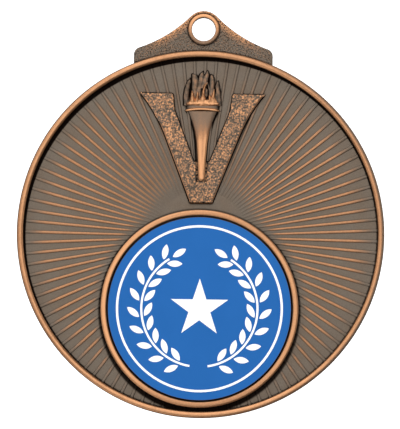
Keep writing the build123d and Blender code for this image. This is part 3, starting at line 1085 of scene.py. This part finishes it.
# Each tongue is a line of (place across, height above the flame's foot, half width) points.
BACK_TONGUES = (
    (
        (-2.24, 0.0, 0.34), (-2.26, 1.2, 0.36), (-2.16, 2.2, 0.34),
        (-1.92, 3.2, 0.28), (-1.66, 3.8, 0.06),
    ),
    (
        (-1.15, 0.6, 0.20), (-1.10, 1.7, 0.32), (-1.09, 2.7, 0.42),
        (-1.06, 3.7, 0.44), (-1.18, 4.15, 0.34), (-1.5, 4.4, 0.08),
    ),
    (
        (-0.5, 0.8, 0.16), (-0.42, 2.2, 0.26), (-0.30, 3.2, 0.34),
        (-0.18, 3.95, 0.38), (-0.16, 4.4, 0.24), (0.06, 4.78, 0.05),
    ),
    (
        (-0.1, 2.4, 0.14), (0.2, 3.1, 0.30), (0.36, 3.5, 0.36),
        (0.54, 4.2, 0.30), (0.60, 4.62, 0.18), (0.62, 4.88, 0.05),
    ),
    (
        (1.16, 1.2, 0.12), (1.18, 2.2, 0.30), (1.24, 3.0, 0.37),
        (1.26, 3.75, 0.34), (1.18, 4.1, 0.2), (1.08, 4.32, 0.06),
    ),
    (
        (2.26, 0.0, 0.28), (2.22, 0.8, 0.30), (2.10, 1.8, 0.30),
        (1.97, 2.7, 0.28), (2.02, 3.2, 0.14), (2.1, 3.5, 0.05),
    ),
    ((0.52, 1.0, 0.05), (0.52, 1.4, 0.18), (0.52, 1.8, 0.22), (0.52, 2.2, 0.16), (0.52, 2.5, 0.04)),
)
FRONT_TONGUES = (
    (
        (-1.38, 0.1, 0.42), (-1.40, 0.7, 0.27), (-1.42, 1.2, 0.17),
        (-1.44, 1.7, 0.12), (-1.45, 2.1, 0.04),
    ),
    (
        (-0.76, 0.1, 0.32), (-0.78, 0.7, 0.20), (-0.74, 1.3, 0.12),
        (-0.68, 2.0, 0.10), (-0.50, 2.95, 0.03),
    ),
    (
        (-0.1, 0.1, 0.50), (0.0, 0.8, 0.32), (0.06, 1.5, 0.14),
        (0.10, 2.1, 0.12), (0.32, 2.8, 0.14), (0.66, 3.25, 0.04),
    ),
    ((0.9, 0.1, 0.34), (0.96, 0.9, 0.15), (0.94, 1.6, 0.08), (0.86, 2.3, 0.08), (0.66, 3.1, 0.05)),
    ((1.34, 0.1, 0.42), (1.36, 0.7, 0.32), (1.42, 1.3, 0.17), (1.5, 1.8, 0.11), (1.55, 2.3, 0.03)),
    ((1.86, 0.1, 0.16), (1.84, 0.9, 0.09), (1.88, 1.8, 0.08), (1.96, 3.1, 0.03)),
)


def make_flame():
    """All tongues with their bed, body and foot, fused and softened."""
    parts = [tongue("back_tongue", line, BACK_CREST, BACK_FULLER) for line in BACK_TONGUES]
    parts += [tongue("front_tongue", line, FLAME_CREST, FRONT_FULLER) for line in FRONT_TONGUES]
    bed = [
        (FLAME_FOOT, 0, 2.4, BED_CREST),
        (FLAME_FOOT + 2.4, 0, 2.2, BED_CREST),
        (FLAME_FOOT + 3.8, 0, 1.2, BED_CREST - 0.06),
    ]
    parts.append(drawn("flame_bed", bed, sides=32))
    body = [(0.0, 1.9, 0.9), (0.45, 1.85, 1.0), (0.75, 1.65, 0.9), (0.95, 1.2, 0.5)]
    body = [(FLAME_FOOT + up, 0.1, wide, crest * FLAME_CREST) for up, wide, crest in body]
    parts.append(drawn("flame_body", body, sides=32))
    foot = []
    for number in range(-8, 9):
        share = number / 8
        end = math.sqrt(max(1 - abs(share) ** 16, 0.02))
        z = FLAME_FOOT + 0.3 - 0.06 * share * share
        foot.append((FLAME_FOOT_HALF_LENGTH * share, z, 0.36 * end, FLAME_CREST * end))
    parts.append(drawn("flame_foot", foot, along="X", sides=16))
    flame = joined("torch_flame", parts)
    use(flame, "REMESH", {"mode": "VOXEL", "voxel_size": FLAME_VOXEL})
    use(flame, "SMOOTH", {"factor": 0.5, "iterations": 2})
    return flame


def flame_masks(start, place):
    """What stands forward is buffed, most of all in the middle; soot fills the gaps."""
    x, front, _ = front_of(start, place)
    stands = RELIEF_BED + FLAME_CREST
    middle = (x * x).rise(4.6, 3.0) * 0.55 + 0.45
    smoke = place.noise(0.6, detail=2.0)
    buffed = front.rise(stands - 0.34, stands - 0.2) * middle + smoke.rise(0.4, 0.65) * 0.22
    gaps = front.rise(RELIEF_BED + 0.4, RELIEF_BED + 0.3) + smoke.rise(0.6, 0.35) * 0.35
    return buffed.limited(), gaps.limited()


finished(make_flame(), antiqued("flame_metal", flame_masks), smooth_angle=60)

# %% [markdown]
# ## The printed insert
# The insert's own layers are right as the CAD has them: a blank, a printed film and white ink. They
# only need finishes. The film is a satin print, the ink a slightly raised matt white, and the pad
# behind them foam. A very fine ripple and a faint second shade keep them from looking like flat
# paint. The blank is bare aluminium, with painted shade darkening the narrow ring where the film
# stops short.

# %% Finishes of the insert
FILM_BLUE = (0.012, 0.106, 0.348, 1)
FILM_BLUE_SHADE = (0.013, 0.110, 0.360, 1)
INK_WHITE = (0.90, 0.90, 0.90, 1)
INK_WHITE_SHADE = (0.87, 0.88, 0.89, 1)
ALUMINIUM = (0.72, 0.72, 0.74, 1)
ALUMINIUM_SHADE = (0.62, 0.62, 0.65, 1)
FOAM = (0.75, 0.73, 0.68, 1)
FOAM_SHADE = (0.68, 0.66, 0.60, 1)
# Painted shade in the gap between the film and the bezel.
GAP_SHADE = (0.03, 0.02, 0.015, 1)


def printed(name, colour, shade, roughness, ripple_mm, ripple_depth):
    """One colour with a faint second shade and a fine ripple."""
    finish = bpy.data.materials.new(name)
    finish.use_nodes = True
    tree = finish.node_tree
    shader = tree.nodes["Principled BSDF"]
    shader.inputs["Specular IOR Level"].default_value = 0.1
    start = Wire(tree)
    place = start.node("ShaderNodeTexCoord", output=3)
    ripple = place.noise(ripple_mm, detail=2.0)
    cloud = place.noise(4.0, detail=2.0)
    colour = cloud.rise(0.3, 0.7).mixed(colour, shade)
    rough = roughness + (ripple - 0.5) * 0.12
    relief = {"Strength": 1.0, "Distance": ripple_depth * MM, "Height": ripple}
    bump = start.node("ShaderNodeBump", values=relief)
    plugged(tree, shader, {"Base Color": colour, "Roughness": rough, "Normal": bump})
    return finish


def gap_shaded_metal(name):
    """Bare aluminium, darkened with painted shade round the front edge where the film stops short."""
    finish = printed(name, ALUMINIUM, ALUMINIUM_SHADE, 0.38, 0.12, 0.003)
    tree = finish.node_tree
    shader = tree.nodes["Principled BSDF"]
    shader.inputs["Metallic"].default_value = 1.0
    start = Wire(tree)
    x, front, z = front_of(start, start.node("ShaderNodeTexCoord", output=3))
    bare = Wire(tree, shader.inputs["Base Color"].links[0].from_socket)
    ring = distance(x, z, INSERT_Z).rise(FILM_RADIUS - 0.05, FILM_RADIUS + 0.02) * front.rise(0.5, 0.9)
    plugged(tree, shader, {"Base Color": ring.mixed(bare, GAP_SHADE)})
    return finish


def refinished(node, finish):
    """Give a CAD node a better material through its own slot."""
    piece = frame["nodes"][node]
    if not piece.material_slots:
        piece.data.materials.append(finish)
    for slot in piece.material_slots:
        slot.material = finish
    print(node, "has", finish.name)


ink = printed("white_ink_print", INK_WHITE, INK_WHITE_SHADE, 0.6, 0.09, 0.002)
refinished("insert_film", printed("blue_film_print", FILM_BLUE, FILM_BLUE_SHADE, 0.55, 0.16, 0.0015))
refinished("printed_border", ink)
refinished("printed_emblem", ink)
refinished("insert_blank", gap_shaded_metal("brushed_blank"))
refinished("insert_adhesive", printed("foam_pad", FOAM, FOAM_SHADE, 0.8, 0.2, 0.01))

# %% [markdown]
# ## The studio
# A medal like this is shot hanging in front of a pale sweep, in a room of middle grey, with soft boxes
# on every side: a strong one above and a little to the left, a broad one behind the camera, weaker
# ones left, right and below, and one behind for the back. Metal shows what it reflects, so the dark
# sides of the ridges need a darker room in the reflections while the picture needs a pale ground.
# The sweep is therefore flagged, as a photographer would flag it with card: the camera sees it, and
# the metal's reflections don't.

# %% Sweep
SWEEP_RADIUS = 1.1
SWEEP_Z = -0.35
SWEEP_CURVE = 0.5
SWEEP_STEPS = 8
SWEEP_WALL = 2.0


def make_sweep():
    """A pale floor that curves up into a wall all round."""
    bpy.ops.mesh.primitive_circle_add(
        vertices=96, radius=SWEEP_RADIUS, fill_type="NGON", location=(0, 0, SWEEP_Z)
    )
    sweep = bpy.context.object
    sweep.name = "sweep"
    edit(sweep, "EDGE")
    bpy.ops.mesh.select_all(action="SELECT")
    turns = [math.radians(90 * number / SWEEP_STEPS) for number in range(SWEEP_STEPS + 1)]
    for before, after in zip(turns, turns[1:]):
        rise = SWEEP_CURVE * (math.cos(before) - math.cos(after))
        wider = SWEEP_RADIUS + SWEEP_CURVE * math.sin(after)
        grow = wider / (SWEEP_RADIUS + SWEEP_CURVE * math.sin(before))
        bpy.ops.mesh.extrude_edges_move(TRANSFORM_OT_translate={"value": (0, 0, rise)})
        bpy.ops.transform.resize(value=(grow, grow, 1), center_override=(0, 0, 0))
    bpy.ops.mesh.extrude_edges_move(TRANSFORM_OT_translate={"value": (0, 0, SWEEP_WALL)})
    bpy.ops.object.mode_set(mode="OBJECT")
    paper = bpy.data.materials.new("pale_paper")
    paper.use_nodes = True
    shader = paper.node_tree.nodes["Principled BSDF"]
    shader.inputs["Base Color"].default_value = (0.92, 0.92, 0.92, 1)
    shader.inputs["Roughness"].default_value = 0.9
    shader.inputs["Emission Color"].default_value = (1, 1, 1, 1)
    shader.inputs["Emission Strength"].default_value = 1.0
    sweep.data.materials.append(paper)
    sweep.visible_glossy = False
    sweep.visible_diffuse = False
    sweep.visible_shadow = False
    print("sweep", len(sweep.data.polygons), "faces")


make_sweep()

# %% Lights
middle = (cad_low + cad_high) / 2


def soft_box(name, place, size, power):
    """A rectangular soft box that faces the medal. Its place and size are in metres, its power in watts."""
    lamp = bpy.data.lights.new(name, "AREA")
    lamp.shape = "RECTANGLE"
    lamp.size = size[0]
    lamp.size_y = size[1]
    lamp.energy = power
    holder = bpy.data.objects.new(name, lamp)
    bpy.context.collection.objects.link(holder)
    holder.location = place
    direction = middle - holder.location
    holder.rotation_euler = direction.to_track_quat("-Z", "Y").to_euler()
    print("soft box", name, power, "W")


soft_box("key_above", (-0.12, -0.35, 0.50), (0.9, 0.6), 3.8)
soft_box("fill_left", (-0.60, -0.35, 0.05), (0.4, 0.8), 1.5)
soft_box("front_fill", (0.0, -1.1, 0.15), (1.2, 1.0), 7.2)
soft_box("low_fill", (-0.25, -0.35, -0.60), (0.6, 0.4), 1.2)
soft_box("back_fill", (0.25, 1.0, 0.35), (1.2, 1.0), 14.0)
soft_box("right_fill", (0.8, -0.15, 0.15), (0.5, 0.8), 1.6)
world = bpy.data.worlds.new("room")
bpy.context.scene.world = world
world.use_nodes = True
world.node_tree.nodes["Background"].inputs["Color"].default_value = (0.30, 0.295, 0.29, 1)
bpy.context.scene.view_settings.view_transform = "Standard"

# %% [markdown]
# ## The camera
# A long lens from straight in front keeps the rim's walls out of sight and the disc round. The medal
# hangs a little off true, so the camera is rolled by nearly a degree and stands a tenth of a
# millimetre to the left of the medal's middle.

# %% Camera
VIEW_HEIGHT = 0.05845
ROLL = -0.9
ASIDE = 0.00012
lens = bpy.data.cameras.new("camera")
lens.lens = 300
lens.sensor_width = 36
camera = bpy.data.objects.new("camera", lens)
bpy.context.collection.objects.link(camera)
distance_back = VIEW_HEIGHT * lens.lens / lens.sensor_width
camera.location = (middle.x - ASIDE, middle.y - distance_back, middle.z)
camera.rotation_euler = (math.radians(90), math.radians(ROLL), 0)
lens.clip_start = 0.01
lens.clip_end = 10
bpy.context.scene.camera = camera
print("camera", round(distance_back, 4), "m in front")
